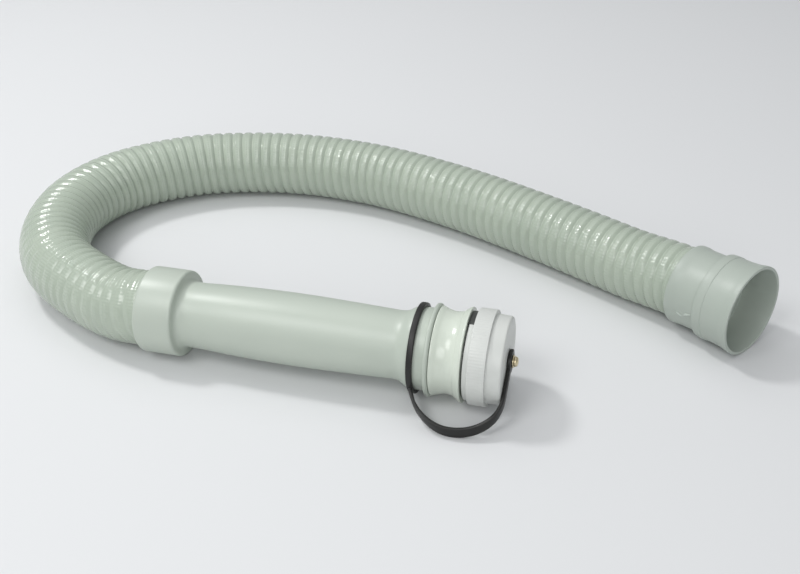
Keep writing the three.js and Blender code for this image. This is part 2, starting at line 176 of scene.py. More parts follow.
# Stations along the outlet's axis, from the collar's hose side
FLARE_START = COLLAR_LENGTH + TUBE_LENGTH
SOCKET_START = FLARE_START + FLARE_LENGTH
BEAD_START = SOCKET_START + SOCKET_LENGTH
TUBE_END = BEAD_START + BEAD_WIDTH
SPOOL_START = TUBE_END + SEAT_GAP
FLANGE_FACE = TUBE_END + SPOOL_LENGTH
NOSE_END = FLANGE_FACE + NOSE_LENGTH
SEAL_START = FLANGE_FACE + SEAT_GAP
CAP_START = SEAL_START + SEAL_THICK + SEAT_GAP
GRIP_START = CAP_START + LEAD_IN_LENGTH
GRIP_END = GRIP_START + GRIP_WIDTH
CAP_END = GRIP_END + CAP_TOP_LENGTH
CAP_INSIDE = CAP_END - CAP_TOP_THICK
EYELET_START = CAP_END + SEAT_GAP
EYELET_END = EYELET_START + STRAP_THICK
WASHER_START = EYELET_END + SEAT_GAP
HEAD_START = WASHER_START + WASHER_THICK + SEAT_GAP


# Axes

def heading(degrees, rise):
    """Direction at an angle in the level plane, with a rise for each unit along it."""
    a = math.radians(degrees)
    return Vector((math.cos(a), math.sin(a), rise)).normalized()


def level_frame(origin, axis):
    """Matrix whose Z runs along axis and whose X is level."""
    x = Vector((0, 0, 1)).cross(axis).normalized()
    y = axis.cross(x)
    return Matrix.Translation(origin) @ Matrix((x, y, axis)).transposed().to_4x4()


def part_shift():
    """How far the part's source is moved to centre it: from where the screw's washer is."""
    low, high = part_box("screw_washer")
    washer = outlet_origin + outlet_axis * (WASHER_START + WASHER_THICK / 2)
    return (low + high) / (2 * MM) - washer


outlet_rise = (GRIP_R - COLLAR_R) / ((GRIP_START + GRIP_END) / 2 - COLLAR_LENGTH / 2)
outlet_axis = heading(OUTLET_HEADING, outlet_rise)
outlet_origin = Vector((*COLLAR_AT, COLLAR_R + FLOOR_GAP - outlet_rise * COLLAR_LENGTH / 2))
cuff_rise = (CUFF_MOUTH_R - CUFF_RING_R) / (CUFF_LENGTH - CUFF_SLEEVE_LENGTH - CUFF_RING_WIDTH / 2)
cuff_axis = heading(CUFF_HEADING, cuff_rise)
cuff_origin = Vector((*CUFF_AT, CUFF_MOUTH_R + FLOOR_GAP - cuff_axis.z * CUFF_LENGTH))
shift = part_shift()
outlet_frame = level_frame(outlet_origin + shift, outlet_axis)
cuff_frame = level_frame(cuff_origin + shift, cuff_axis)


# Mesh helpers

def new_piece(name, points, faces, material, body, slot, smooth_under=40):
    """A piece from points in millimetres, smooth across edges that turn less than an angle."""
    mesh = bpy.data.meshes.new(name)
    mesh.from_pydata((np.asarray(points, float) * MM).tolist(), [], faces)
    mesh.materials.append(material)
    mesh.shade_smooth()
    mesh.set_sharp_from_angle(angle=math.radians(smooth_under))
    piece = bpy.data.objects.new(name, mesh)
    bpy.context.scene.collection.objects.link(piece)
    if body:
        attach(piece, body)
    return piece


def outline(corners, steps=5):
    """Points of a closed outline of (radius, station, reach); reach is how far its corner is rounded."""
    rounded = []
    count = len(corners)
    for i, corner in enumerate(corners):
        p = np.array(corner[:2], float)
        reach = corner[2] if len(corner) > 2 else 0.15
        before = np.array(corners[i - 1][:2], float) - p
        after = np.array(corners[(i + 1) % count][:2], float) - p
        a = p + before * min(0.48, reach / np.linalg.norm(before))
        b = p + after * min(0.48, reach / np.linalg.norm(after))
        for t in np.linspace(0, 1, steps):
            rounded.append((1 - t) ** 2 * a + 2 * t * (1 - t) * p + t * t * b)
    return np.array(rounded)


def placed(points, placing):
    """Points moved by a placing matrix."""
    matrix = np.array(placing)
    return points @ matrix[:3, :3].T + matrix[:3, 3]


def turned(corners, placing, sides=144, sweep=None, relief=None):
    """Points and faces of an outline turned about placing's Z, all round or over sweep degrees.
    relief(radius, station, angle) changes the radius."""
    ring = outline(corners)
    rows = len(ring)
    if sweep:
        angles = np.radians(np.linspace(sweep[0], sweep[1], sides + 1))
    else:
        angles = np.arange(sides) * 2 * np.pi / sides
    radius, angle = np.meshgrid(ring[:, 0], angles)
    station = np.broadcast_to(ring[:, 1], radius.shape)
    if relief:
        radius = relief(radius, station, angle)
    local = np.stack([radius * np.cos(angle), radius * np.sin(angle), station], -1).reshape(-1, 3)
    faces = []
    columns = len(angles)
    for k in range(columns if not sweep else columns - 1):
        n = (k + 1) % columns
        for i in range(rows):
            j = (i + 1) % rows
            faces.append((k * rows + i, n * rows + i, n * rows + j, k * rows + j))
    if sweep:
        faces.append(tuple(range(rows)))
        faces.append(tuple(reversed(range((columns - 1) * rows, columns * rows))))
    return placed(local, placing), faces


def together(*solids):
    """Several (points, faces) as one."""
    points, faces = [], []
    for solid_points, solid_faces in solids:
        start = sum(len(p) for p in points)
        points.append(solid_points)
        faces += [tuple(start + v for v in face) for face in solid_faces]
    return np.concatenate(points), faces


def banded(centres, across, outward, half_width, half_thick, round_reach, steps=3):
    """Points and faces of a flat band with rounded edges along centres."""
    corner = [(half_width, half_thick), (-half_width, half_thick),
              (-half_width, -half_thick), (half_width, -half_thick)]
    section = outline([(*c, round_reach) for c in corner], steps)
    rows = len(section)
    points = np.concatenate([
        c + section[:, :1] * w + section[:, 1:] * n for c, w, n in zip(centres, across, outward)
    ])
    faces = []
    for k in range(len(centres) - 1):
        for i in range(rows):
            j = (i + 1) % rows
            faces.append((k * rows + i, k * rows + j, (k + 1) * rows + j, (k + 1) * rows + i))
    faces.append(tuple(reversed(range(rows))))
    faces.append(tuple(range((len(centres) - 1) * rows, len(centres) * rows)))
    return points, faces


# Routes

def unit(vectors):
    """Vectors brought to a length of one."""
    return vectors / np.linalg.norm(vectors, axis=1)[:, None]


def cubic(start, end, leaving, arriving, steps):
    """Points along a cubic from start to end that leaves and arrives with the given slopes."""
    u = np.linspace(0, 1, steps)[:, None]
    return (
        (2 * u ** 3 - 3 * u ** 2 + 1) * start + (u ** 3 - 2 * u ** 2 + u) * leaving
        + (3 * u ** 2 - 2 * u ** 3) * end + (u ** 3 - u ** 2) * arriving
    )


def evenly(spans, samples):
    """Points at even lengths along joined spans, and the length at each."""
    dense = np.concatenate([span[:-1] for span in spans[:-1]] + [spans[-1]])
    along = np.concatenate([[0], np.cumsum(np.linalg.norm(np.diff(dense, axis=0), axis=1))])
    even = np.linspace(0, along[-1], samples)
    return np.stack([np.interp(even, along, dense[:, k]) for k in range(3)], -1), even


def hose_line(samples):
    """Centres and directions at even lengths along the hose, and the length at each."""
    points = [outlet_origin + outlet_axis * COLLAR_SEAT_DEPTH, outlet_origin + outlet_axis * ROUTE_STRAIGHT]
    points += [Vector((x, y, HOSE_CREST_R + FLOOR_GAP)) for x, y in ROUTE_POINTS]
    points += [cuff_origin - cuff_axis * ROUTE_STRAIGHT, cuff_origin + cuff_axis * CUFF_SEAT_DEPTH]
    points = np.array([p + shift for p in points])
    ends = {0: -outlet_axis, 1: -outlet_axis, len(points) - 2: cuff_axis, len(points) - 1: cuff_axis}
    slopes = []
    for i, p in enumerate(points):
        if i in ends:
            slopes.append(np.array(ends[i]))
            continue
        before = p - points[i - 1]
        after = points[i + 1] - p
        near, far = np.linalg.norm(before), np.linalg.norm(after)
        slopes.append((after * near / far + before * far / near) / (near + far) * (1, 1, 0))
    spans = []
    for i in range(len(points) - 1):
        reach = np.linalg.norm(points[i + 1] - points[i])
        spans.append(cubic(points[i], points[i + 1], slopes[i] * reach, slopes[i + 1] * reach, 81))
    centres, along = evenly(spans, samples)
    return centres, unit(np.gradient(centres, axis=0)), along


def leftward(directions):
    """Level directions to the left of each direction."""
    return unit(np.cross((0, 0, 1), directions))


def curvature(directions, along):
    """How sharply the hose turns to its left at each centre, per millimetre, smoothed."""
    bend = np.sum(np.gradient(directions, along, axis=0) * leftward(directions), axis=1)
    reach = 40  # samples on each side, nearly three ribs
    return np.convolve(np.pad(bend, reach, "edge"), np.full(2 * reach + 1, 1 / (2 * reach + 1)), "valid")


def skin(centres, directions, radius, angle):
    """Points round each centre at a radius for each angle, the first to the left, the next upwards."""
    side = leftward(directions)
    up = np.cross(directions, side)
    ring = side[:, None] * np.cos(angle)[:, None] + up[:, None] * np.sin(angle)[:, None]
    return (centres[:, None] + ring * radius[..., None]).reshape(-1, 3)


def through(points, samples):
    """A smooth line through points, evenly spaced: the centripetal curve that the strap follows."""
    p = [np.array(q, float) for q in points]
    p = [2 * p[0] - p[1], *p, 2 * p[-1] - p[-2]]
    spans = []
    for i in range(1, len(p) - 2):
        a, b, c = (np.linalg.norm(p[i + k] - p[i + k - 1]) ** 0.5 for k in range(3))
        start = ((p[i] - p[i - 1]) / a - (p[i + 1] - p[i - 1]) / (a + b) + (p[i + 1] - p[i]) / b) * b
        end = ((p[i + 1] - p[i]) / b - (p[i + 2] - p[i]) / (b + c) + (p[i + 2] - p[i + 1]) / c) * b
        spans.append(cubic(p[i], p[i + 1], start, end, 41))
    return evenly(spans, samples)[0]


# Materials

def linear(colour):
    """An sRGB hex colour as linear RGBA."""
    parts = [int(colour[i:i + 2], 16) / 255 for i in (1, 3, 5)]
    return [c / 12.92 if c <= 0.04045 else ((c + 0.055) / 1.055) ** 2.4 for c in parts] + [1.0]


def add(tree, kind, inputs=None, **settings):
    """A node with its settings, and its inputs set to values or linked to sockets."""
    node = tree.nodes.new("ShaderNode" + kind)
    for name, value in settings.items():
        setattr(node, name, value)
    for name, value in (inputs or {}).items():
        if isinstance(value, bpy.types.NodeSocket):
            tree.links.new(value, node.inputs[name])
        else:
            node.inputs[name].default_value = value
    return node


def new_material(name):
    """A material without nodes, and its tree."""
    material = bpy.data.materials.new(name)
    material.use_nodes = True
    material.node_tree.nodes.clear()
    return material, material.node_tree


def surface(tree, inputs):
    """The shader and the output that end every material."""
    shader = add(tree, "BsdfPrincipled", inputs)
    add(tree, "OutputMaterial", {"Surface": shader.outputs["BSDF"]})


def mottled(tree, pale, deep, patch_mm):
    """Colour that drifts between two shades in soft patches of about patch_mm."""
    place = add(tree, "TexCoord").outputs["Object"]
    drift = add(tree, "TexNoise", {"Vector": place, "Scale": 1 / (patch_mm * MM), "Detail": 2.0})
    mix = add(tree, "Mix", {"Factor": drift.outputs["Fac"]}, data_type="RGBA")
    mix.inputs["A"].default_value = linear(pale)
    mix.inputs["B"].default_value = linear(deep)
    return mix.outputs["Result"]


def surface_grain(tree, grain_mm, height_mm, strength, normal=None):
    """Bump of a moulded skin: unevenness about grain_mm across, which bends a highlight a little."""
    place = add(tree, "TexCoord").outputs["Object"]
    grain = add(tree, "TexNoise", {"Vector": place, "Scale": 1 / (grain_mm * MM), "Detail": 3.0})
    links = {"Height": grain.outputs["Fac"], "Distance": height_mm * MM, "Strength": strength}
    if normal:
        links["Normal"] = normal
    return add(tree, "Bump", links).outputs["Normal"]


def extruded_pvc():
    """Plasticised PVC hose, a wet-looking grey-green strip wound on a mandrel. Two fine ridges along
    each rib and fine notches across it break its highlights into short dashes."""
    material, tree = new_material("extruded_pvc")
    wound = add(tree, "UVMap", uv_map="winding").outputs["UV"]
    parts = add(tree, "SeparateXYZ", {"Vector": wound}).outputs
    # One turn of the rib for each whole number of x - y
    phase = add(tree, "Math", {0: parts["X"], 1: parts["Y"]}, operation="SUBTRACT").outputs[0]
    from_groove = add(tree, "Math", {0: phase, 1: 1 - GROOVE_AT}, operation="ADD").outputs[0]
    distance = add(tree, "Math", {0: from_groove, 1: 0.5}, operation="PINGPONG").outputs[0]
    on_rib = add(tree, "MapRange", {"Value": distance, "From Min": 0.03, "From Max": 0.24},
                 interpolation_type="SMOOTHSTEP").outputs["Result"]
    off_ridge = add(tree, "Math", {0: distance, 1: RIDGE_AT}, operation="SUBTRACT").outputs[0]
    ridge_turn = math.pi / (0.5 - RIDGE_AT)
    ridge_angle = add(tree, "Math", {0: off_ridge, 1: ridge_turn}, operation="MULTIPLY").outputs[0]
    ridge = add(tree, "Math", {0: ridge_angle}, operation="COSINE").outputs[0]
    notch_count = round(math.tau * HOSE_CREST_R / NOTCH_SPACING)
    around = add(tree, "Math", {0: parts["Y"], 1: notch_count * math.tau}, operation="MULTIPLY").outputs[0]
    notch = add(tree, "Math", {0: around}, operation="SINE").outputs[0]
    low = add(tree, "Math", {0: notch, 1: NOTCH_HEIGHT}, operation="MULTIPLY").outputs[0]
    both = add(tree, "Math", {0: ridge, 1: RIDGE_HEIGHT, 2: low}, operation="MULTIPLY_ADD").outputs[0]
    height = add(tree, "Math", {0: both, 1: on_rib}, operation="MULTIPLY").outputs[0]
    cut = add(tree, "Bump", {"Height": height, "Distance": MM, "Strength": 0.8})
    surface(tree, {
        "Base Color": mottled(tree, "#b0baab", "#a4afa1", 26), "Roughness": 0.15, "IOR": 1.53,
        "Normal": surface_grain(tree, 2.5, 0.03, 0.35, cut.outputs["Normal"]),
    })
    return material


def moulded_pvc(name, pale, deep, roughness):
    """Soft PVC moulding: even, glossy, with the slightly wavy skin that a flexible part cools to."""
    material, tree = new_material(name)
    surface(tree, {
        "Base Color": mottled(tree, pale, deep, 35), "Roughness": roughness, "IOR": 1.53,
        "Normal": surface_grain(tree, 9.0, 0.08, 0.3),
    })
    return material


def polished_polypropylene():
    """Injection-moulded polypropylene from a polished mould: the whitest piece, with sharp highlights."""
    material, tree = new_material("polished_polypropylene")
    surface(tree, {
        "Base Color": mottled(tree, "#d1d8cc", "#cad2c6", 20), "Roughness": 0.2, "IOR": 1.49,
        "Normal": surface_grain(tree, 7.0, 0.05, 0.25),
    })
    return material


def satin_polypropylene():
    """Injection-moulded polypropylene from a plain mould: a cooler white than the neck, and duller."""
    material, tree = new_material("satin_polypropylene")
    surface(tree, {
        "Base Color": mottled(tree, "#d1d3cf", "#c9ccc8", 15), "Roughness": 0.36, "IOR": 1.49,
        "Normal": surface_grain(tree, 1.2, 0.02, 0.4),
    })
    return material


def moulded_rubber(name, pale, deep):
    """Moulded EPDM rubber: dull, with a soft grey sheen on edges that face the light."""
    material, tree = new_material(name)
    surface(tree, {
        "Base Color": mottled(tree, pale, deep, 6), "Roughness": 0.45, "IOR": 1.52,
        "Normal": surface_grain(tree, 0.9, 0.03, 0.5),
    })
    return material


def turned_brass():
    """Brass screw stock, turned and lightly tarnished: warm metal, duller in patches."""
    material, tree = new_material("turned_brass")
    place = add(tree, "TexCoord").outputs["Object"]
    tarnish = add(tree, "TexNoise", {"Vector": place, "Scale": 1 / (1.5 * MM), "Detail": 2.0})
    rough = add(tree, "MapRange", {"Value": tarnish.outputs["Fac"], "To Min": 0.22, "To Max": 0.42})
    surface(tree, {
        "Base Color": mottled(tree, "#e4d9bd", "#c9b88f", 2), "Metallic": 1.0,
        "Roughness": rough.outputs["Result"],
        "Normal": surface_grain(tree, 0.4, 0.01, 0.4),
    })
    return material


def solvent_cement():
    """Dried PVC cement: a clear drip that takes the cuff's colour and shines like water."""
    material, tree = new_material("solvent_cement")
    surface(tree, {
        "Base Color": mottled(tree, "#b6beb6", "#a9b2aa", 3), "Roughness": 0.08, "IOR": 1.5,
        "Normal": surface_grain(tree, 1.0, 0.05, 0.4),
    })
    return material


# Pieces

def grid_faces(start, rows, sides, inward):
    """Quads of a tube's skin of rows x sides points, and the (row, side) of each corner."""
    faces, corners = [], []
    for i in range(rows - 1):
        for k in range(sides):
            quad = [(i, k), (i, k + 1), (i + 1, k + 1), (i + 1, k)]
            if inward:
                quad.reverse()
            faces.append(tuple(start + row * sides + column % sides for row, column in quad))
            corners += quad
    return faces, corners


def rib_depth(phase, bend, angle):
    """How far the skin lies below the hose's crest, from its place in a rib and the bend there."""
    from_groove = np.abs((phase - GROOVE_AT + 0.5) % 1 - 0.5)
    groove = GROOVE_DEPTH * np.exp(-(from_groove / GROOVE_HALF_WIDTH) ** 2)
    crown = CREST_ROUND * (1 - 2 * from_groove) ** 2
    stretch = -bend * np.cos(angle)
    share = RIB_SHARE_FULL - RIB_LOSS_STRETCHED * stretch - RIB_LOSS_BENT * np.abs(bend)
    return np.clip(share, RIB_SHARE_LEAST, RIB_SHARE_FULL) * (groove + crown)


def end_ring(rim, bore_rim, sides, turns, backward):
    """Quads from the skin's rim to the bore's at one end of the hose, and their winding."""
    faces, winding = [], []
    for k in range(sides):
        n = (k + 1) % sides
        face = [rim + k, bore_rim + k, bore_rim + n, rim + n]
        wrap = [(turns, k / sides), (turns, k / sides), (turns, (k + 1) / sides), (turns, (k + 1) / sides)]
        if backward:
            face.reverse()
            wrap.reverse()
        faces.append(tuple(face))
        winding += wrap
    return faces, winding


def ribbed_hose(material):
    """The hose, its rib winding round it; where it bends, the ribs flatten outside and bunch inside."""
    sides = 60
    rows_per_pitch = 14
    bore_step = 3.0
    length = hose_line(2)[2][-1]
    # Whole turns and the share up to a groove, as in the part's own source
    pitch = length / (math.floor(length / RIB_PITCH - GROOVE_AT) + GROOVE_AT)
    rows = round(length / pitch * rows_per_pitch)
    bore_rows = round(length / bore_step)
    centres, directions, along = hose_line(rows)
    bend = curvature(directions, along)[:, None] * HOSE_CREST_R
    angle = np.arange(sides) * 2 * np.pi / sides
    phase = along[:, None] / pitch - angle / (2 * np.pi)
    outer = skin(centres, directions, HOSE_CREST_R - rib_depth(phase, bend, angle), angle)
    bore_centres, bore_directions, bore_along = hose_line(bore_rows)
    bore = skin(bore_centres, bore_directions, np.full((bore_rows, sides), HOSE_BORE_R), angle)
    inside = rows * sides
    faces, corners = grid_faces(0, rows, sides, False)
    winding = [(along[row] / pitch, column / sides) for row, column in corners]
    bore_faces, corners = grid_faces(inside, bore_rows, sides, True)
    winding += [(bore_along[row] / pitch, column / sides) for row, column in corners]
    faces += bore_faces
    last, bore_last = (rows - 1) * sides, inside + (bore_rows - 1) * sides
    for rim, bore_rim, turns in ((0, inside, 0.0), (last, bore_last, along[-1] / pitch)):
        ring_faces, ring_winding = end_ring(rim, bore_rim, sides, turns, rim == 0)
        faces += ring_faces
        winding += ring_winding
    points = np.concatenate([outer, bore])
    piece = new_piece("ribbed_hose", points, faces, material, "hose_body", "hose_vinyl", 60)
    layer = piece.data.uv_layers.new(name="winding")
    layer.data.foreach_set("uv", np.array(winding, np.float32).ravel())
    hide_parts("hose")
    return piece, centres * MM, along[-1] * MM


def outlet_tube(material):
    """Collar, swelling tube and end socket: one soft moulding."""
    seat = HOSE_CREST_R + SEAT_GAP
    stop = COLLAR_SEAT_DEPTH + SEAT_GAP
    swell = COLLAR_LENGTH + TUBE_SWELL_AT
    outside = [
        (COLLAR_R - COLLAR_CHAMFER_DEPTH, 0, 0.4),
        (COLLAR_R - COLLAR_CHAMFER_DEPTH * 0.3, COLLAR_CHAMFER * 0.5, 0.5),
        (COLLAR_R, COLLAR_CHAMFER, 0.5), (COLLAR_R, COLLAR_LENGTH, COLLAR_EDGE_ROUND),
        (TUBE_ROOT_R + 0.05, COLLAR_LENGTH + 0.4, 3.2),
        (TUBE_ROOT_R, COLLAR_LENGTH + TUBE_ROOT_STRAIGHT, 4),
        (TUBE_SWELL_START_R, COLLAR_LENGTH + TUBE_SWELL_START, 18), (TUBE_SWELL_R + 0.08, swell, 24),
        (TUBE_NECK_START_R, FLARE_START - TUBE_NECK_START, 14), (TUBE_NECK_R - 0.05, FLARE_START - 1, 4.5),
        (SOCKET_R, SOCKET_START - 0.8, 3.2), (SOCKET_R, BEAD_START, 0.5), (BEAD_R, BEAD_START, 0.9),
        (BEAD_R, TUBE_END - 0.8, 0.9), (NECK_SHOULDER_R, TUBE_END, 0.3),
    ]
    inside = [
        (SOCKET_R - TUBE_WALL, TUBE_END, 0.2), (SOCKET_R - TUBE_WALL, SOCKET_START, 0.3),
        (TUBE_NECK_R - TUBE_WALL, SOCKET_START - 1.6, 1), (TUBE_NECK_R - TUBE_WALL, FLARE_START - 7, 3),
        (TUBE_SWELL_R - TUBE_WALL, swell, 24), (TUBE_ROOT_R - TUBE_WALL, COLLAR_LENGTH + 5.5, 4),
        (TUBE_ROOT_R - TUBE_WALL, stop, 0.3), (seat, stop, 0.2), (seat, 0, 0.2),
    ]
    points, faces = turned(outside + inside, outlet_frame)
    piece = new_piece("outlet_tube", points, faces, material, "hose_body", "tube_vinyl")
    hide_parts("drain_tube")


def neck_spool(material):
    """Waisted spool between the tube's bead and the cap, with its flange and nose."""
    plug = SOCKET_R - TUBE_WALL - SEAT_GAP
    waist = SPOOL_START + WAIST_AT
    step = FLANGE_FACE - SPOOL_STEP_AT
    flange = FLANGE_FACE - FLANGE_THICK
    corners = [
        (plug, SOCKET_START + SEAT_GAP), (plug, SPOOL_START), (NECK_SHOULDER_R + 0.1, SPOOL_START, 0.5),
        (NECK_SHOULDER_R - 0.4, SPOOL_START + 1.6, 0.9),
        (WAIST_R + 0.75, waist - WAIST_HALF_LENGTH - 0.3, 1.8),
        (WAIST_R - 0.15, waist, 3.8), (WAIST_R + 0.75, waist + WAIST_HALF_LENGTH - 0.3, 2.2),
        (WAIST_R + 1.6, step, 0.1), (WAIST_R + 1.9, step + SPOOL_STEP_LENGTH, 0.1),
        (FLANGE_R - 0.5, flange - 0.5, 1.3), (FLANGE_R, flange + 0.2, 0.4),
        (FLANGE_R, FLANGE_FACE, 0.35), (NOSE_R, FLANGE_FACE, 0.1), (NOSE_R, NOSE_END, 0.8),
        (NECK_BORE_R, NOSE_END, 0.5), (NECK_BORE_R, SOCKET_START + SEAT_GAP),
    ]
    points, faces = turned(corners, outlet_frame)
    piece = new_piece("neck_spool", points, faces, material, "hose_body", "neck_plastic")
    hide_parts("neck_fitting")


def cap_seal(material):
    """Grey seal behind the cap; its key fills the gap in the cap's rim at the top."""
    inner = NOSE_R + SEAT_GAP
    outer = LEAD_IN_R - SEAL_RECESS
    ring_end = SEAL_START + SEAL_THICK / 2
    ring = turned([
        (outer, SEAL_START), (outer, ring_end), (inner, ring_end), (inner, SEAL_START),
    ], outlet_frame)
    key_outer = LEAD_IN_R - 0.2
    key_inner = inner + 0.2
    key_end = GRIP_START - 0.1
    half = SEAL_KEY_ANGLE / 2 - SEAL_KEY_CLEARANCE
    key = turned([
        (key_outer, SEAL_START), (key_outer, key_end, 0.3), (key_inner, key_end), (key_inner, SEAL_START),
    ], outlet_frame, 28, (SEAL_KEY_MIDDLE - half, SEAL_KEY_MIDDLE + half))
    points, faces = together(ring, key)
    piece = new_piece("cap_seal", points, faces, material, "cap_body", "black_rubber")
    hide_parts("seal_ring")


def screw_cap(material):
    """Cap with a finely fluted grip band and a stepped top; its rim is open over the seal's key."""
    bore = NOSE_R + SEAT_GAP

    def flutes(radius, station, angle):
        on_band = (radius > GRIP_R - 0.05) & (station > GRIP_START + 0.3) & (station < GRIP_END - 0.3)
        return radius - on_band * GRIP_FLUTE_DEPTH * (1 - np.abs(np.cos(angle * GRIP_FLUTES / 2)))

    body = turned([
        (LEAD_IN_R - 0.2, GRIP_START, 0.1), (GRIP_R, GRIP_START, 0.6), (GRIP_R, GRIP_END, 0.6),
        (CAP_TOP_R + 0.05, GRIP_END, 0.35), (CAP_TOP_R - CAP_TOP_TAPER, CAP_END, 1.3),
        (SCREW_HOLE_R, CAP_END, 0.1), (SCREW_HOLE_R, CAP_INSIDE, 0.1), (bore, CAP_INSIDE, 0.5),
        (bore, GRIP_START, 0.1),
    ], outlet_frame, GRIP_FLUTES * 8, relief=flutes)
    half = SEAL_KEY_ANGLE / 2
    lead_in = SEAL_START + SEAL_THICK / 2 + 0.15
    rim_end = GRIP_START + 0.2
    rim = turned([
        (LEAD_IN_R, lead_in, 0.3), (LEAD_IN_R, rim_end), (bore, rim_end), (bore, lead_in),
    ], outlet_frame, 120, (SEAL_KEY_MIDDLE + half, SEAL_KEY_MIDDLE - half + 360))
    points, faces = together(body, rim)
    piece = new_piece("screw_cap", points, faces, material, "cap_body", "cap_plastic")
    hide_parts("cap")


def strap_loop(ring_middle, start, end):
    """The strap's middle line from its ring to its eyelet, as listed (station, radius) pairs."""
    middle = (ring_middle + end) / 2
    half = (end - ring_middle) / 2
    rise = STRAP_REACH - start
    # Stations are shares of half the span, from its middle. Radii are shares of the rise at first,
    # and then what is short of the full reach
    outward = [(-0.82, 0.44), (-0.64, 0.68), (-0.4, 0.88)]
    back = [(-0.14, 0.2), (0.12, 0), (0.36, 1.2), (0.58, 3.8), (0.76, 7.4), (0.9, 12)]
    line = [(ring_middle, start), (ring_middle + 1.2, start + 3)]
    line += [(middle + half * station, start + rise * share) for station, share in outward]
    line += [(middle + half * station, STRAP_REACH - short) for station, short in back]
    return line + [(end - 0.3, CAP_TOP_R + 1.4), (end, CAP_TOP_R - 3), (end, (EYELET_R + SCREW_R) / 2 + 1)]


def tether_strap(material):
    """Rubber strap: a ring round the socket, a flat loop standing on its edge, and an eyelet."""
    ring_inner = SOCKET_R + SEAT_GAP
    ring_outer = ring_inner + STRAP_RING_WALL
    ring_start = SOCKET_START + STRAP_RING_AT
    ring_end = ring_start + STRAP_RING_WIDTH
    ring = turned([
        (ring_outer, ring_start, 0.6), (ring_outer, ring_end, 0.6),
        (ring_inner, ring_end, 0.3), (ring_inner, ring_start, 0.3),
    ], outlet_frame)
    eyelet = turned([
        (EYELET_R, EYELET_START, 0.4), (EYELET_R, EYELET_END, 0.5),
        (SCREW_HOLE_R, EYELET_END, 0.1), (SCREW_HOLE_R, EYELET_START, 0.1),
    ], outlet_frame, 64)
    loop = strap_loop(
        (ring_start + ring_end) / 2, (ring_inner + ring_outer) / 2, (EYELET_START + EYELET_END) / 2,
    )
    drop = math.radians(STRAP_DROP)
    out = np.array((-math.cos(drop), -math.sin(drop), 0))
    centres = through([out * r + (0, 0, a) for a, r in loop], 90)
    share = np.linspace(0, 1, len(centres))
    tangents = unit(np.gradient(centres, axis=0))
    # The band lies flat at both ends and stands on its edge between them
    lean = drop * (1 - 0.9 * np.sin(np.pi * share) ** 2)
    across = np.stack([-np.sin(lean), np.cos(lean), 0 * lean], -1)
    across = unit(across - tangents * np.sum(across * tangents, axis=1)[:, None])
    outward = np.cross(tangents, across)
    points, faces = banded(centres, across, outward, STRAP_WIDTH / 2, STRAP_THICK / 2, 0.5)
    points, faces = together(ring, eyelet, (placed(points, outlet_frame), faces))
    piece = new_piece("tether_strap", points, faces, material, None, "black_rubber")
    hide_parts("strap")
    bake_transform(piece)


def brass_fastener(material):
    """Pan-head screw through the eyelet, and its washer."""
    tip = CAP_INSIDE - SCREW_SHANK
    top = HEAD_START + SCREW_HEAD_HEIGHT
    # The outlines stop just short of the axis
    centre_r = 0.02
    screw = turned([
        (SCREW_R, tip, 0.4), (SCREW_R, HEAD_START, 0.1), (SCREW_HEAD_R, HEAD_START, 0.2),
        (SCREW_HEAD_R, HEAD_START + 1, 0.7), (SCREW_HEAD_R * 0.72, top - 0.35, 0.8), (centre_r, top, 0.4),
        (centre_r, tip, 0.01),
    ], outlet_frame, 64)
    piece = new_piece("pan_head_screw", *screw, material, "cap_body", "brass")
    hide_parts("cap_screw")
    washer_end = WASHER_START + WASHER_THICK
    washer = turned([
        (WASHER_R, WASHER_START, 0.12), (WASHER_R, washer_end, 0.2),
        (SCREW_HOLE_R, washer_end), (SCREW_HOLE_R, WASHER_START),
    ], outlet_frame, 64)
    piece = new_piece("brass_washer", *washer, material, "eyelet_washer", "brass")
    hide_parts("screw_washer")


def hidden_nut(material):
    """The nut inside the cap is the part's own solid; it only takes the brass."""
    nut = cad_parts["screw_nut"]
    nut.data.materials.clear()
    nut.data.materials.append(material)


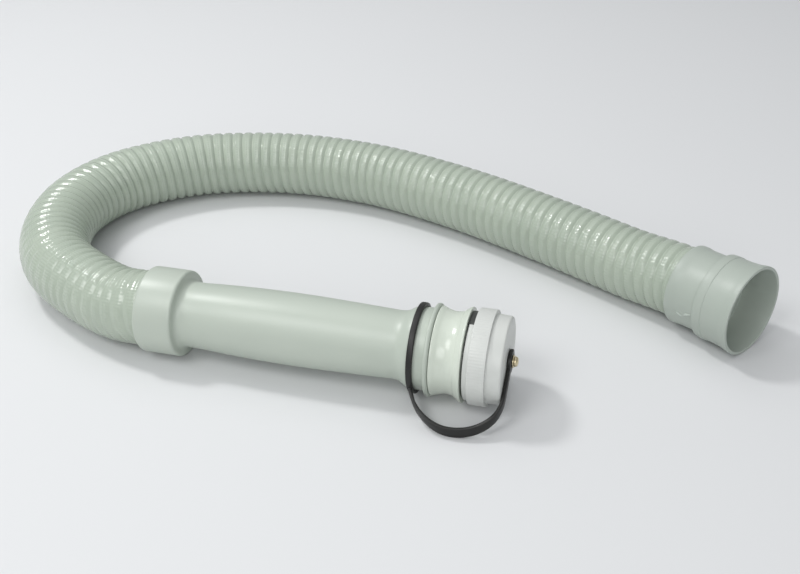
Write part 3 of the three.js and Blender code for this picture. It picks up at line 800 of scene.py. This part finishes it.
def push_on_cuff(material):
    """Cuff: lip and sleeve over the hose, a raised ring, a slight waist and the flared mouth."""
    seat = HOSE_CREST_R + SEAT_GAP
    stop = CUFF_SEAT_DEPTH + SEAT_GAP
    stop_end = stop + CUFF_STOP_THICK
    ring = CUFF_SLEEVE_LENGTH
    ring_end = ring + CUFF_RING_WIDTH
    waist = ring + CUFF_WAIST_AT
    outside = [
        (seat + 0.3, -CUFF_LIP_OVERHANG, 0.3), (CUFF_LIP_R, 0.7 - CUFF_LIP_OVERHANG, 0.8),
        (CUFF_LIP_R, CUFF_LIP_END, 1.4), (CUFF_SLEEVE_R, CUFF_LIP_END + CUFF_LIP_TAPER, 2),
        (CUFF_SLEEVE_R, ring, 0.2), (CUFF_RING_R - 0.2, ring + 0.5, 0.3), (CUFF_RING_R, ring + 2.4, 0.6),
        (CUFF_RING_R, ring_end - 0.2, 0.3), (CUFF_RING_R - 0.35, ring_end + 0.1, 0.15),
        (CUFF_WAIST_R + 0.05, waist - 2.5, 1.8), (CUFF_WAIST_R, waist, 3),
        (CUFF_WAIST_R + 0.4, CUFF_LENGTH - CUFF_FLARE_LENGTH, 2),
        (CUFF_MOUTH_R - 0.1, CUFF_LENGTH - 2.4, 1.5), (CUFF_MOUTH_R, CUFF_LENGTH, 0.5),
    ]
    inside = [
        (CUFF_MOUTH_R - CUFF_WALL + 0.1, CUFF_LENGTH, 0.4),
        (CUFF_WAIST_R - CUFF_WALL, waist, 3), (CUFF_WAIST_R - CUFF_WALL, stop_end, 0.3),
        (CUFF_STOP_R, stop_end, 0.3), (CUFF_STOP_R, stop, 0.2), (seat, stop, 0.2),
        (seat, -CUFF_LIP_OVERHANG, 0.2),
    ]
    points, faces = turned(outside + inside, cuff_frame, 160)
    piece = new_piece("push_on_cuff", points, faces, material, "hose_body", "cuff_vinyl")
    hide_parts("hose_cuff")
    return piece


def cement_drips(material):
    """Two small smears of dried cement on the sleeve, beside the ring."""
    rings, segments = 6, 24
    height, sunk = 0.8, 0.12
    share, turn = np.meshgrid(
        np.arange(1, rings + 1) / rings, np.arange(segments) * 2 * np.pi / segments, indexing="ij",
    )
    share = np.append(share.ravel(), 0)
    turn = np.append(turn.ravel(), 0)
    top = rings * segments
    faces = [tuple(range(top - segments, top))]
    for k in range(segments):
        n = (k + 1) % segments
        faces.append((top, n, k))
        faces += [
            (i * segments + n, (i + 1) * segments + n, (i + 1) * segments + k, i * segments + k)
            for i in range(rings - 1)
        ]
    # Each smear's angle and station on the cuff, half its width and length, and its slant
    smears = ((195, 9.4, 1.0, 1.6, 0.4), (190.5, 15.0, 1.3, 2.3, -0.5))
    drips = []
    for angle, station, width, length, slant in smears:
        reach = share * (1 + 0.22 * np.cos(2 * turn + slant) + 0.16 * np.cos(3 * turn + 2 * slant))
        along = length * reach * np.cos(turn)
        across = width * reach * np.sin(turn) + slant * along
        where = math.radians(angle) + across / CUFF_SLEEVE_R
        r = CUFF_SLEEVE_R - sunk + height * np.sqrt(1 - share * share)
        local = np.stack([r * np.cos(where), r * np.sin(where), station + along], -1)
        drips.append((placed(local, cuff_frame), faces))
    points, faces = together(*drips)
    new_piece("cement_drips", points, faces, material, "hose_body", "cuff_vinyl")


def stage():
    """Plain pale floor, wide enough to reach the horizon."""
    half = 30.0  # metres
    corners = [(-half, -half, 0), (half, -half, 0), (half, half, 0), (-half, half, 0)]
    mesh = bpy.data.meshes.new("floor")
    mesh.from_pydata(corners, [], [(0, 1, 2, 3)])
    floor = bpy.data.objects.new("floor", mesh)
    bpy.context.scene.collection.objects.link(floor)
    material, tree = new_material("pale_paper")
    surface(tree, {"Base Color": linear("#d9dadb"), "Roughness": 0.9})
    mesh.materials.append(material)


def softbox(name, direction, distance, width, power):
    """A round soft lamp that faces the object from a direction; metres and watts."""
    lamp = bpy.data.lights.new(name, "AREA")
    lamp.shape = "DISK"
    lamp.size = width
    lamp.energy = power
    holder = bpy.data.objects.new(name, lamp)
    away = Vector(direction).normalized()
    holder.location = away * distance
    holder.rotation_euler = away.to_track_quat("Z", "Y").to_euler()
    bpy.context.scene.collection.objects.link(holder)


def lights():
    """A wide ceiling lamp, three smaller lamps that give the glints, and a dim room."""
    softbox("ceiling", (-0.1, 0.35, 1), 2.4, 2.6, 11)
    softbox("back_left_box", (-0.5, 0.27, 0.82), 1.5, 0.24, 7.5)
    softbox("front_left_box", (-0.44, -0.45, 0.78), 1.6, 0.7, 7)
    softbox("front_box", (-0.05, -0.85, 0.5), 2.0, 1.0, 8.5)
    world = bpy.data.worlds.new("room")
    world.use_nodes = True
    room = world.node_tree.nodes["Background"].inputs
    room["Color"].default_value = linear("#eef1f4")
    room["Strength"].default_value = 0.45
    bpy.context.scene.world = world


def camera():
    """The photograph's camera: its place, tilt and focal length were worked out from the outlines."""
    focal_pixels = 1056.2
    image_width = 800
    sensor_mm = 36.0
    place_mm = Vector((14.0, -576.0, 373.5))
    tilt = 33.27
    roll = -0.45
    data = bpy.data.cameras.new("photo_view")
    data.sensor_width = sensor_mm
    data.lens = sensor_mm * focal_pixels / image_width
    data.clip_end = 20
    holder = bpy.data.objects.new("photo_view", data)
    holder.matrix_world = (
        Matrix.Translation((place_mm + shift) * MM) @ Matrix.Rotation(math.radians(90 - tilt), 4, "X")
        @ Matrix.Rotation(math.radians(roll), 4, "Z")
    )
    bpy.context.scene.collection.objects.link(holder)
    bpy.context.scene.camera = holder


def main():
    camera()
    hose, line, hose_length = ribbed_hose(extruded_pvc())
    cuff = push_on_cuff(moulded_pvc("moulded_cuff_pvc", "#adb5ac", "#a5aea5", 0.42))
    outlet_tube(moulded_pvc("moulded_tube_pvc", "#bac2b7", "#b2bbb0", 0.38))
    neck_spool(polished_polypropylene())
    cap_seal(moulded_rubber("grey_rubber_seal", "#3a3d3a", "#323531"))
    screw_cap(satin_polypropylene())
    tether_strap(moulded_rubber("black_rubber_strap", "#11110e", "#0b0b09"))
    brass = turned_brass()
    brass_fastener(brass)
    hidden_nut(brass)
    cement_drips(solvent_cement())
    stage()
    lights()
    bpy.context.scene.view_settings.view_transform = "Standard"


main()
